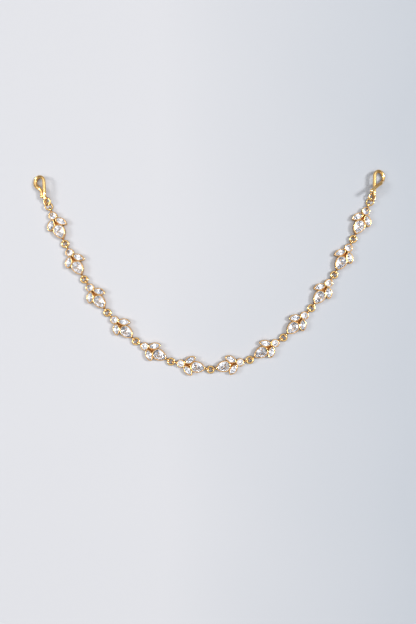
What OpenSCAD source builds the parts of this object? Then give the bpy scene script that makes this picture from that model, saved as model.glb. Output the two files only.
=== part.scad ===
// Matha patti: one strand of gilt clusters set with clear stones, laid in a U with a wire hook at each end.
// Millimetres. X runs to the right, Y from the bottom of the U towards the hooks, and Z up from the surface
// the strand lies on.

/* [Round cup] */
// Outside diameter of the round cup
round_d = 5.3; // [4.6:0.1:6.2]
// Height of the round cup
round_h = 3.0; // [2.4:0.1:4]

/* [Marquise cups] */
// Length of a marquise cup from tip to tip
petal_l = 8.4; // [7.6:0.1:9.6]
// Width of a marquise cup
petal_w = 4.5; // [3.9:0.1:5]
// Height of a marquise cup
petal_h = 3.2; // [2.6:0.1:4.2]
// Angle of a marquise cup to the strand
petal_turn = 40; // [36:1:46]
// Place of a marquise cup's tip on the round cup, as an angle to the strand
petal_place = 19; // [16:1:24]
// How far a marquise cup's tip lies inside the round cup's wall
petal_bite = 0.37; // [0.2:0.01:0.4]

/* [Pear cup] */
// Width of the pear cup
pear_w = 7.3; // [6.6:0.1:8.2]
// Length of the pear cup, head to tip
pear_l = 9.85; // [9:0.05:11.5]
// Height of the pear cup
pear_h = 3.6; // [3:0.1:4.6]
// How far the pear cup's wall lies inside the marquise cups' walls
pear_bite = 0.15; // [0.05:0.01:0.3]

/* [Cup walls] */
// Wall of every cup
cup_wall = 0.4; // [0.35:0.01:0.5]
// Floor of every cup
cup_floor = 0.5; // [0.4:0.05:0.8]
// How far the rim is burnished over the stone
lip = 0.2; // [0.12:0.01:0.25]
// Thickness of the burnished rim
lip_t = 0.3; // [0.2:0.05:0.5]
// Height of the solder web between the cups
web_h = 1.2; // [0.8:0.1:2]

/* [Stones] */
// Clearance of a stone in its cup
seat_gap = 0.1; // [0.1:0.01:0.15]
// Thickness of a stone's girdle
girdle_t = 0.2; // [0.15:0.01:0.3]
// Table of a stone as a share of its width
table_share = 0.56; // [0.5:0.01:0.62]
// Crown angle of every stone
crown_angle = 34; // [30:1:40]
// Gap under a stone's point
point_gap = 0.15; // [0.1:0.01:0.4]

/* [End loops] */
// Outside diameter of the upright loop at each end of a cluster
loop_od = 3.4; // [3.3:0.05:3.8]
// Wire of the upright loops
loop_wire = 0.9; // [0.8:0.01:1]
// Gap between the loops and the surface
loop_lift = 0.05; // [0:0.05:0.4]
// Length of the stem between the round cup and its loop
stem_l = 0.05; // [0:0.05:0.6]
// Diameter of the stems
stem_d = 1.5; // [1:0.05:1.8]
// How far the other loop is let into the pear cup's tip
tip_bite = 0.4; // [0.3:0.01:0.5]

/* [Jump rings and links] */
// Outside diameter of a jump ring
ring_od = 5.4; // [5:0.1:6.2]
// Wire of the jump rings
ring_wire = 1.2; // [1:0.05:1.25]
// Outside diameter of the small links at the ends
link_od = 5.6; // [5.5:0.1:6]
// Wire of the small links
link_wire = 0.95; // [0.8:0.05:1]
// Slack between the two small links, along the strand
link_play = 0.4; // [0.35:0.05:0.6]
// Slack of the last link in the hook's eye
eye_play = 0.35; // [0.25:0.05:0.4]
// Roll of the first small link about the strand
first_link_roll = -30; // [-36:1:-24]
// Roll of the last small link about the strand
last_link_roll = 20; // [14:1:26]
// Rise of the first small link towards the hook
link_rise = 6; // [5:1:8]

/* [Hooks] */
// Wire of the hooks
hook_wire = 2.15; // [1.8:0.05:2.3]
// Wire of the eye, where it is drawn thinner
eye_wire = 1.3; // [1.1:0.05:1.4]
// Inside diameter of the eye
eye_id = 2.3; // [2.2:0.05:2.6]
// Outside width of the hook's loop
hook_w = 9.5; // [8.5:0.1:10]
// Gap between the two wires at the neck
neck_gap = 0.12; // [0.1:0.01:0.3]

/* [Left hook] */
// Distance from the eye's centre to the widest part of the left loop
left_reach = 10.6; // [10:0.1:13]
// Distance from the left eye's centre to the neck, where the wire comes back beside the shank
left_neck = 5.4; // [5:0.1:6]
// Length of the left hook's wire past the neck
left_tail_l = 4.2; // [3:0.1:4.4]

/* [Right hook] */
// Distance from the eye's centre to the widest part of the right loop
right_reach = 11.2; // [10:0.1:13]
// Distance from the right eye's centre to the neck, where the wire crosses over the shank
right_neck = 4.6; // [4:0.1:6]
// Length of the right hook's wire past the neck
right_tail_l = 5.9; // [3:0.1:6.2]
// How far the right hook's wire turns towards the shank past the neck
right_tail_turn = 7; // [0:1:12]

/* [Hidden] */
$fn = 48;

// The chain's route: how far each cluster leans up from level, from the middle ring outwards, in degrees
left_lean = [11.5, 30.1, 45.1, 55.2, 61.6, 66.6];
right_lean = [13.9, 33.6, 46.6, 55.5, 62.1, 65.6];
// At the left and right ends: how far the links are drawn out in the last loop, and the turns, counted
// inwards from the last cluster's line, of the last link, of the eye on it and of the hook
end_pull = [-0.05, -0.05];
last_link_turn = [4, 1];
eye_turn = [-6, -3];
hook_turn = [21, 24];

GOLD = [0.85, 0.62, 0.26];
CLEAR = [0.92, 0.94, 0.97];
SIDES = 2;
PER_SIDE = len(left_lean);
CLUSTERS = SIDES * PER_SIDE;
// Facets repeat eight times round a stone, on sixteen girdle corners
REPEATS = 8;
CORNERS = 2 * REPEATS;
TUBE_SIDES = 14;
// Gap between the surface and what only just clears it
clear = 0.02;

// Outlines: each cup is a circle or a pair of arcs, so a wall or clearance only takes from the radii
round_r = round_d / 2;
petal_arc = (petal_l * petal_l + petal_w * petal_w) / (4 * petal_w);
petal_off = petal_arc - petal_w / 2;
pear_r = pear_w / 2;
pear_point = pear_l - pear_r;
pear_arc = (pear_point * pear_point + pear_r * pear_r) / (2 * pear_r);
pear_off = pear_arc - pear_r;

// Places along a cluster, from the ring centre at its round end to the ring centre at its pear end
ring_r = (ring_od - ring_wire) / 2;
loop_r = (loop_od - loop_wire) / 2;
loop_z = loop_od / 2 + loop_lift;
round_x = ring_r + loop_od / 2 + stem_l + round_r;
tip_r = round_r - petal_bite;
petal_x = round_x + tip_r * cos(petal_place) + petal_l / 2 * cos(petal_turn);
petal_y = tip_r * sin(petal_place) + petal_l / 2 * sin(petal_turn);
// The pear's head meets the inner arc of each marquise cup
arc_x = petal_x - petal_off * sin(petal_turn);
arc_y = petal_y + petal_off * cos(petal_turn);
head_gap = pear_r + petal_arc - pear_bite;
pear_x = arc_x + sqrt(head_gap * head_gap - arc_y * arc_y);
tip_x = pear_x + pear_point;
pear_loop_x = tip_x + loop_od / 2 - tip_bite;
pitch = pear_loop_x + ring_r;

// Small links and hooks
link_r = (link_od - link_wire) / 2;
link_step = 2 * link_r - link_wire - link_play;
eye_r = (eye_id + eye_wire) / 2;
eye_z = eye_r + eye_wire / 2 + clear;
shank_z = eye_z + eye_r;
hook_r = (hook_w - hook_wire) / 2;
// The outer side of the hook lies on the surface and its shank stands at the top of the eye
hook_roll = asin((shank_z - hook_wire / 2 - clear) / (2 * hook_r));

// Sides of the strand: 0 is the left one and 1 the right one
function lean(side) = side == 0 ? left_lean : right_lean;
// Sign of X on a side, outwards
function outwards(side) = side == 0 ? -1 : 1;
// Level direction that leans a degrees up from outwards
function level(side, a) = [outwards(side) * cos(a), sin(a)];
// The ring centre n clusters from the middle ring
function ring_at(side, n) = n == 0 ? [0, 0] : ring_at(side, n - 1) + pitch * level(side, lean(side)[n - 1]);

// A cluster is numbered from 0 at the left hook; its rank is how many lie between it and the middle
function side_of(i) = i < PER_SIDE ? 0 : 1;
function rank_of(i) = i < PER_SIDE ? PER_SIDE - 1 - i : i - PER_SIDE;
function cluster_at(i) = ring_at(side_of(i), rank_of(i) + 1);
function inwards(i) = -level(side_of(i), lean(side_of(i))[rank_of(i)]);
function cluster_turn(i) = atan2(inwards(i)[1], inwards(i)[0]);
// A point given along and across a cluster, on the surface
function on_cluster(i, along, across) =
    let (d = inwards(i)) cluster_at(i) + along * d + across * [-d[1], d[0]];

// Small links and the eye, one after another from the last cluster's loop
function end_lean(side) = lean(side)[PER_SIDE - 1];
function first_link_at(side) =
    ring_at(side, PER_SIDE) + (link_r - ring_r + end_pull[side]) * level(side, end_lean(side));
function last_link_at(side) =
    first_link_at(side) + link_step * level(side, end_lean(side) + last_link_turn[side]);
function eye_at(side) =
    last_link_at(side) + (link_r - eye_play) * level(side, end_lean(side) + eye_turn[side]);

// Corners of the stones' outlines, anticlockwise, taken in by d from the outside of the cup
function polar(r, a) = r * [cos(a), sin(a)];
function round_corners(d) = [for (i = [0:CORNERS - 1]) polar(round_r - d, i * 360 / CORNERS)];
function petal_corners(d) =
    let (arc = petal_arc - d, half = acos(petal_off / arc), step = 2 * half / REPEATS)
    concat([for (i = [0:REPEATS - 1]) [0, -petal_off] + polar(arc, 90 - half + i * step)],
        [for (i = [0:REPEATS - 1]) [0, petal_off] + polar(arc, 270 - half + i * step)]);
// Five corners on each straightened side of the pear and six steps round its head
PEAR_SIDE = 5;
PEAR_HEAD = 6;
function pear_corners(d) =
    let (arc = pear_arc - d, half = acos(pear_off / arc), step = half / PEAR_SIDE)
    concat([for (i = [0:PEAR_SIDE - 1]) [0, -pear_off] + polar(arc, 90 - half + i * step)],
        [for (i = [0:PEAR_HEAD]) polar(pear_r - d, 90 + i * 180 / PEAR_HEAD)],
        [for (i = [1:PEAR_SIDE - 1]) [0, pear_off] + polar(arc, 270 + i * step)]);

// Stones: shares of the way out from the middle at which the inner corners of the crown and pavilion lie
STAR_SHARE = 0.8;
LOW_SHARE = 0.26;
stone_in = cup_wall + seat_gap;
// The pear cut's middle lies from the head's centre a third of what the point stands out
pear_mid = (pear_point - pear_r) / 3;
// The girdle lies under the burnished rim by more than the crown needs to pass inside it
girdle_drop = lip_t + (lip + seat_gap) * tan(crown_angle);

// Ring of corners: every second one of pts from first, drawn in to share about the middle, at height z
function inner(pts, first, share, mid, z) =
    [for (j = [0:REPEATS - 1]) let (p = mid + share * (pts[2 * j + first] - mid)) [p[0], p[1], z]];
function at_height(pts, z) = [for (p = pts) [p[0], p[1], z]];

// A brilliant-cut stone whose girdle's top is at z = 0; half_w is half its width
module cut_stone(pts, half_w, mid, depth) {
    slope = cos(360 / CORNERS);
    crown_h = (1 - table_share) * half_w * tan(crown_angle);
    star_z = crown_h * (1 - STAR_SHARE * slope) / (1 - table_share);
    low_z = -girdle_t - (depth - girdle_t) * (1 - LOW_SHARE * slope);
    // First corner of the table, the stars, the girdle's top and bottom edges, the lower facets and the point
    T = 0;
    M = T + REPEATS;
    G = M + REPEATS;
    B = G + CORNERS;
    L = B + CORNERS;
    point = L + REPEATS;
    function next(j) = (j + 1) % REPEATS;
    function turn(i) = (i + 1) % CORNERS;
    crown = [for (j = [0:REPEATS - 1]) each [
        [T + j, M + j, T + next(j)],
        [T + next(j), M + j, G + 2 * next(j)],
        [T + next(j), G + 2 * next(j), M + next(j)],
        [M + j, G + 2 * j, G + 2 * j + 1],
        [M + j, G + 2 * j + 1, G + 2 * next(j)]]];
    girdle = [for (i = [0:CORNERS - 1]) each [
        [G + i, B + i, B + turn(i)],
        [G + i, B + turn(i), G + turn(i)]]];
    pavilion = [for (j = [0:REPEATS - 1]) each [
        [B + 2 * j, L + j, B + 2 * j + 1],
        [B + 2 * j + 1, L + j, B + 2 * next(j)],
        [B + 2 * next(j), L + j, point],
        [B + 2 * next(j), point, L + next(j)]]];
    table = [[for (j = [0:REPEATS - 1]) T + j]];
    faces = concat(table, crown, girdle, pavilion);
    points = concat(
        inner(pts, 0, table_share, mid, crown_h),
        inner(pts, 1, STAR_SHARE, mid, star_z),
        at_height(pts, 0),
        at_height(pts, -girdle_t),
        inner(pts, 1, LOW_SHARE, mid, low_z),
        [[mid[0], mid[1], -depth]]);
    polyhedron(points = points, faces = [for (f = faces) [for (k = [len(f) - 1:-1:0]) f[k]]]);
}

function girdle_z(cup_h) = cup_h - girdle_drop;
function stone_depth(cup_h) = girdle_z(cup_h) - cup_floor - point_gap;

// Cup outlines as solids of height h, taken in by d from the outside
module round_block(d, h) {
    cylinder(r = round_r - d, h = h);
}

module petal_block(d, h) {
    intersection() {
        translate([0, petal_off, 0]) cylinder(r = petal_arc - d, h = h);
        translate([0, -petal_off, 0]) cylinder(r = petal_arc - d, h = h);
    }
}

module pear_block(d, h) {
    rotate([0, 0, 90]) rotate_extrude(angle = 180) square([pear_r - d, h]);
    intersection() {
        translate([0, pear_off, 0]) cylinder(r = pear_arc - d, h = h);
        translate([0, -pear_off, 0]) cylinder(r = pear_arc - d, h = h);
        translate([0, -pear_r, 0]) cube([pear_l, 2 * pear_r, h]);
    }
}

// Each kind of cup at its place along the cluster; the two marquise cups are hand 1 and -1
module at_round() {
    translate([round_x, 0, 0]) children();
}

module at_petal(hand) {
    translate([petal_x, hand * petal_y, 0]) rotate([0, 0, hand * petal_turn]) children();
}

module at_pear() {
    translate([pear_x, 0, 0]) children();
}

// What is taken out of a cup of height cup_h: the seat, and the narrower mouth inside the rim
module round_seat(cup_h) {
    translate([0, 0, cup_floor]) round_block(cup_wall, cup_h - cup_floor - lip_t);
    translate([0, 0, cup_floor]) round_block(cup_wall + lip, cup_h);
}

module petal_seat(cup_h) {
    translate([0, 0, cup_floor]) petal_block(cup_wall, cup_h - cup_floor - lip_t);
    translate([0, 0, cup_floor]) petal_block(cup_wall + lip, cup_h);
}

module pear_seat(cup_h) {
    translate([0, 0, cup_floor]) pear_block(cup_wall, cup_h - cup_floor - lip_t);
    translate([0, 0, cup_floor]) pear_block(cup_wall + lip, cup_h);
}

module wire_ring(od, wire) {
    rotate_extrude() translate([(od - wire) / 2, 0]) circle(d = wire);
}

module upright_loop(x) {
    translate([x, 0, loop_z]) rotate([90, 0, 0]) wire_ring(loop_od, loop_wire);
}

module stem(from_x, to_x) {
    translate([from_x, 0, loop_z]) rotate([0, 90, 0]) cylinder(d = stem_d, h = to_x - from_x);
}

module solder_web() {
    linear_extrude(web_h) polygon([[round_x, 0], [petal_x, -petal_y], [pear_x, 0], [petal_x, petal_y]]);
}

module place(i) {
    at = cluster_at(i) - middle;
    translate([at[0], at[1], 0]) rotate([0, 0, cluster_turn(i)]) children();
}

module setting(i) {
    color(GOLD) place(i) {
        difference() {
            union() {
                at_round() round_block(0, round_h);
                for (hand = [-1, 1]) at_petal(hand) petal_block(0, petal_h);
                at_pear() pear_block(0, pear_h);
                solder_web();
            }
            at_round() round_seat(round_h);
            for (hand = [-1, 1]) at_petal(hand) petal_seat(petal_h);
            at_pear() pear_seat(pear_h);
        }
        upright_loop(ring_r);
        stem(ring_r + loop_r, round_x - round_r + cup_wall / 2);
        upright_loop(pear_loop_x);
        stem(tip_x - cup_wall, pear_loop_x - loop_r);
    }
}

module round_stone(i) {
    color(CLEAR) place(i) at_round() translate([0, 0, girdle_z(round_h)])
        cut_stone(round_corners(stone_in), round_r - stone_in, [0, 0], stone_depth(round_h));
}

module pear_stone(i) {
    color(CLEAR) place(i) at_pear() translate([0, 0, girdle_z(pear_h)])
        cut_stone(pear_corners(stone_in), pear_r - stone_in, [pear_mid, 0], stone_depth(pear_h));
}

// The marquise stones on one edge of the strand: edge -1 is the outside of the U and 1 the inside
module marquise_stones(edge) {
    color(CLEAR) for (i = [0:CLUSTERS - 1]) {
        hand = edge * (side_of(i) == 0 ? 1 : -1);
        place(i) at_petal(hand) translate([0, 0, girdle_z(petal_h)])
            cut_stone(petal_corners(stone_in), petal_w / 2 - stone_in, [0, 0], stone_depth(petal_h));
    }
}

// Jump ring i joins clusters i and i + 1
module jump_ring(i) {
    at = (i < PER_SIDE - 1 ? cluster_at(i + 1) : i > PER_SIDE - 1 ? cluster_at(i) : [0, 0]) - middle;
    color(GOLD) translate([at[0], at[1], loop_z]) wire_ring(ring_od, ring_wire);
}

// A small link whose centre is at p, in the direction that leans a, raised by rise and rolled
module small_link(side, p, z, a, rise, roll) {
    at = p - middle;
    d = level(side, a);
    color(GOLD) translate([at[0], at[1], z]) rotate([0, 0, atan2(d[1], d[0])]) rotate([0, -rise, 0])
        rotate([outwards(side) * roll, 0, 0]) wire_ring(link_od, link_wire);
}

first_link_z = loop_z + link_r * sin(link_rise);
last_link_z = first_link_z + link_r * sin(link_rise);

module first_link(side) {
    small_link(side, first_link_at(side), first_link_z, end_lean(side), link_rise, first_link_roll);
}

module last_link(side) {
    heading = end_lean(side) + last_link_turn[side];
    small_link(side, last_link_at(side), last_link_z, heading, 0, last_link_roll);
}

// Hook: its wire is followed from the end of the eye, round the loop and back to the neck
EYE_STEP = 18;
EYE_SWEEP = 270;
SHANK_STEPS = 5;
HEAD_STEPS = 18;
LEG_STEPS = 7;
TAIL_STEPS = 4;
// Angles of the shrinking rings that round a wire's end
END_ANGLES = [80, 55, 30];

function unit(v) = v / norm(v);
function smooth(t) = t * t * (3 - 2 * t);
function bend(a, b, c, t) = (1 - t) * (1 - t) * a + 2 * t * (1 - t) * b + t * t * c;

function hook_reach(side) = side == 0 ? left_reach : right_reach;
function hook_neck(side) = side == 0 ? left_neck : right_neck;
function tail_l(side) = side == 0 ? left_tail_l : right_tail_l;
// The left hook's wire comes back beside the shank; the right one's crosses over it and is lifted to clear
wire_step = hook_wire + neck_gap;
function tail_side(side) = side == 0 ? wire_step : 0;
function tail_lift(side) = side == 0 ? 0 : wire_step;

// Points of the wire as [along the shank, across to the outer side, up from the loop's plane]
function eye_points() = [for (a = [EYE_SWEEP:-EYE_STEP:EYE_STEP]) [-eye_r * sin(a), 0, eye_r * (cos(a) - 1)]];
function shank_points(side) = [for (k = [0:SHANK_STEPS - 1]) [k * hook_reach(side) / SHANK_STEPS, 0, 0]];
function loop_points(side) =
    let (
        neck = [hook_neck(side), tail_side(side)],
        to_mid = [hook_reach(side), hook_r] - neck,
        slant = atan2(to_mid[1], to_mid[0]) + asin(hook_r / norm(to_mid)),
        leg_l = sqrt(norm(to_mid) ^ 2 - hook_r ^ 2),
        leg_top = neck + leg_l * [cos(slant), sin(slant)],
        tail_slant = side == 0 ? 0 : slant - right_tail_turn,
        tail_end = neck - tail_l(side) * [cos(tail_slant), sin(tail_slant)],
        leg_mid = (leg_top + neck) / 2,
        tail_mid = (neck + tail_end) / 2
    )
    concat(
        [for (k = [0:HEAD_STEPS - 1]) let (a = k * (180 + slant) / HEAD_STEPS)
            [hook_reach(side) + hook_r * sin(a), hook_r * (1 - cos(a)), 0]],
        [for (k = [0:LEG_STEPS - 1]) let (t = k / LEG_STEPS, p = leg_top + t * (leg_mid - leg_top))
            [p[0], p[1], tail_lift(side) * smooth(t)]],
        [for (k = [0:LEG_STEPS]) let (p = bend(leg_mid, neck, tail_mid, k / LEG_STEPS))
            [p[0], p[1], tail_lift(side)]],
        [for (k = [1:TAIL_STEPS]) let (p = tail_mid + k / TAIL_STEPS * (tail_end - tail_mid))
            [p[0], p[1], tail_lift(side)]]);

// The wire is thinner at the eye and full this far along the shank
thin_l = 3.6;
function wire_r(p) = (eye_wire + (hook_wire - eye_wire) * smooth(min(1, max(0, p[0] / thin_l)))) / 2;

// A hook point in the strand's frame: the eye stands upright and the loop is rolled about the shank
function hook_point(side, p, upright) =
    let (
        u = level(side, end_lean(side) + hook_turn[side]),
        v = outwards(side) * [u[1], -u[0]],
        roll = upright ? 0 : hook_roll,
        across = p[1] * cos(roll) + p[2] * sin(roll),
        at = eye_at(side) + p[0] * u + across * v
    )
    [at[0], at[1], shank_z - p[1] * sin(roll) + p[2] * cos(roll)];

function hook_path(side) = concat([for (p = eye_points()) hook_point(side, p, true)],
    [for (p = concat(shank_points(side), loop_points(side))) hook_point(side, p, false)]);
function hook_radii(side) = concat([for (p = eye_points()) eye_wire / 2],
    [for (p = shank_points(side)) wire_r(p)], [for (p = loop_points(side)) hook_wire / 2]);

// Directions along a path, and a side vector carried along it without twisting
function tangents(path) =
    let (n = len(path))
    [for (i = [0:n - 1]) unit(path[min(i + 1, n - 1)] - path[max(i - 1, 0)])];
function carried(ts, i) = i == 0 ? unit(cross(ts[0], [ts[0][1], -ts[0][2], ts[0][0]]))
    : let (v = carried(ts, i - 1)) unit(v - (v * ts[i]) * ts[i]);

// A round wire along path with a rounded end at both ends
module wire(path, radii) {
    n = len(path);
    ts = tangents(path);
    starts = [for (a = END_ANGLES) [path[0] - radii[0] * sin(a) * ts[0], radii[0] * cos(a)]];
    ends = [for (k = [len(END_ANGLES) - 1:-1:0]) let (a = END_ANGLES[k])
        [path[n - 1] + radii[n - 1] * sin(a) * ts[n - 1], radii[n - 1] * cos(a)]];
    caps = len(END_ANGLES);
    rings = concat(starts, [for (i = [0:n - 1]) [path[i], radii[i]]], ends);
    count = len(rings);
    points = [for (i = [0:count - 1]) let (
            j = min(max(i - caps, 0), n - 1),
            a = carried(ts, j),
            b = cross(ts[j], a)
        ) for (k = [0:TUBE_SIDES - 1]) let (q = k * 360 / TUBE_SIDES)
            rings[i][0] + rings[i][1] * (cos(q) * a + sin(q) * b)];
    walls = [for (i = [0:count - 2]) for (k = [0:TUBE_SIDES - 1]) let (
            m = (k + 1) % TUBE_SIDES,
            p = i * TUBE_SIDES
        ) each [[p + k, p + TUBE_SIDES + k, p + m], [p + m, p + TUBE_SIDES + k, p + TUBE_SIDES + m]]];
    polyhedron(points = points, faces = concat([[for (k = [0:TUBE_SIDES - 1]) k]], walls,
        [[for (k = [TUBE_SIDES - 1:-1:0]) (count - 1) * TUBE_SIDES + k]]));
}

module hook(side) {
    color(GOLD) translate([-middle[0], -middle[1], 0]) wire(hook_path(side), hook_radii(side));
}

// The middle of the whole strand, seen from above, is the origin
petal_tip_x = petal_x + petal_l / 2 * cos(petal_turn);
petal_tip_y = petal_y + petal_l / 2 * sin(petal_turn);
cup_edges = [for (i = [0:CLUSTERS - 1]) for (hand = [-1, 1]) on_cluster(i, petal_tip_x, hand * petal_tip_y)];
pear_edges = [for (i = [0:CLUSTERS - 1]) on_cluster(i, pear_x, 0) - [0, pear_r]];
low_y = min([for (p = concat(cup_edges, pear_edges, [[0, -ring_od / 2]])) p[1]]);
high_y = max([for (side = [0:SIDES - 1]) for (p = hook_path(side)) p[1]]) + hook_wire / 2;
low_x = min([for (p = hook_path(0)) p[0]]) - hook_wire / 2;
high_x = max([for (p = hook_path(1)) p[0]]) + hook_wire / 2;
middle = [(low_x + high_x) / 2, (low_y + high_y) / 2];

// Names: two-figure numbers run from the left hook to the right one
function two(n) = n < 10 ? str("0", n) : str(n);
function numbered(word, count) = [for (n = [1:count]) str(word, "_", two(n))];
SETTINGS = numbered("setting", CLUSTERS);
PEARS = numbered("pear_stone", CLUSTERS);
ROUNDS = numbered("round_stone", CLUSTERS);
RINGS = numbered("jump_ring", CLUSTERS - 1);
FIELDS = ["marquise_stones_outer", "marquise_stones_inner"];
FIRST_LINKS = ["left_link_b", "right_link_b"];
LAST_LINKS = ["left_link_a", "right_link_a"];
HOOKS = ["left_hook", "right_hook"];

for (i = [0:CLUSTERS - 1]) {
    setting(i);
    pear_stone(i);
    round_stone(i);
}
for (i = [0:CLUSTERS - 2]) {
    jump_ring(i);
}
for (k = [0:SIDES - 1]) {
    marquise_stones(2 * k - 1);
    first_link(k);
    last_link(k);
    hook(k);
}
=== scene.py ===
"""A matha patti: a strand of gilt cluster settings with clear stones, jump rings, small links and hooks.

Sizes are in millimetres and are turned into metres where a mesh is made. X runs to the right as the
strand lies, Y from the bottom of the U towards the hooks, and Z up from the surface.
"""

import logging
import math
import random
from dataclasses import astuple, dataclass, field
from enum import Enum

import bmesh
import bpy
import numpy as np
from mathutils import Matrix, Vector


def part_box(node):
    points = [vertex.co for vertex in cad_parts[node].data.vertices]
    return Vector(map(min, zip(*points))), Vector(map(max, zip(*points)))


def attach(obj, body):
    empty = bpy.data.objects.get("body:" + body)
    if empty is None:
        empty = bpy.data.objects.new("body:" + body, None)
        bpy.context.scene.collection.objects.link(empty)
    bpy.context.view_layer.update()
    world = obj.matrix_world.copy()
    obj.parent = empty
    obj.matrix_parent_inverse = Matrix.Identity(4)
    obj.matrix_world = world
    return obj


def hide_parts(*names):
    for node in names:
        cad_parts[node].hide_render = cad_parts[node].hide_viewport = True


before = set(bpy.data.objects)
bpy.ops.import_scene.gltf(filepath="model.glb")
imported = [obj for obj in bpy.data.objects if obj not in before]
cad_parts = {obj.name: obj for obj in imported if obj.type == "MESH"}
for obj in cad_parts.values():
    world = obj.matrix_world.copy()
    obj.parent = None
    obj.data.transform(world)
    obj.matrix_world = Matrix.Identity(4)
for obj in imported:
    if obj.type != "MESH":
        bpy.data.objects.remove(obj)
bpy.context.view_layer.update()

LOG = logging.getLogger("matha_patti")
MM = 0.001
ROOT = "root"
UP = np.array([0.0, 0.0, 1.0])
Point = tuple[float, float]
Way = tuple[float, float, float]
Colour = tuple[float, float, float, float]
Socket = bpy.types.NodeSocket
Node = bpy.types.Node
Tree = bpy.types.NodeTree
Finish = bpy.types.Material
Mesh = bpy.types.Mesh
Thing = bpy.types.Object


class Side(Enum):
    """The two arms of the strand."""

    LEFT = "left"
    RIGHT = "right"

    @property
    def outwards(self) -> int:
        """The sign of X towards this arm."""
        return -1 if self is Side.LEFT else 1


class Cut(Enum):
    """The outlines of the cups and their stones."""

    ROUND = "round"
    MARQUISE = "marquise"
    PEAR = "pear"


class Tail(Enum):
    """How a hook's wire comes back at the neck."""

    BESIDE = "beside the shank"
    OVER = "over the shank"


class End(Enum):
    """How an open wire ends."""

    ROUNDED = "rounded"
    SAWN = "sawn flat with a small bevel"


class Face(Enum):
    """The finishes on a setting, in the order of its material slots."""

    BEZEL = 0
    SOLDER = 1


@dataclass(frozen=True)
class Span:
    """A stretch of values and the stretch that it becomes."""

    low: float
    high: float
    to_low: float = 0.0
    to_high: float = 1.0


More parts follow.
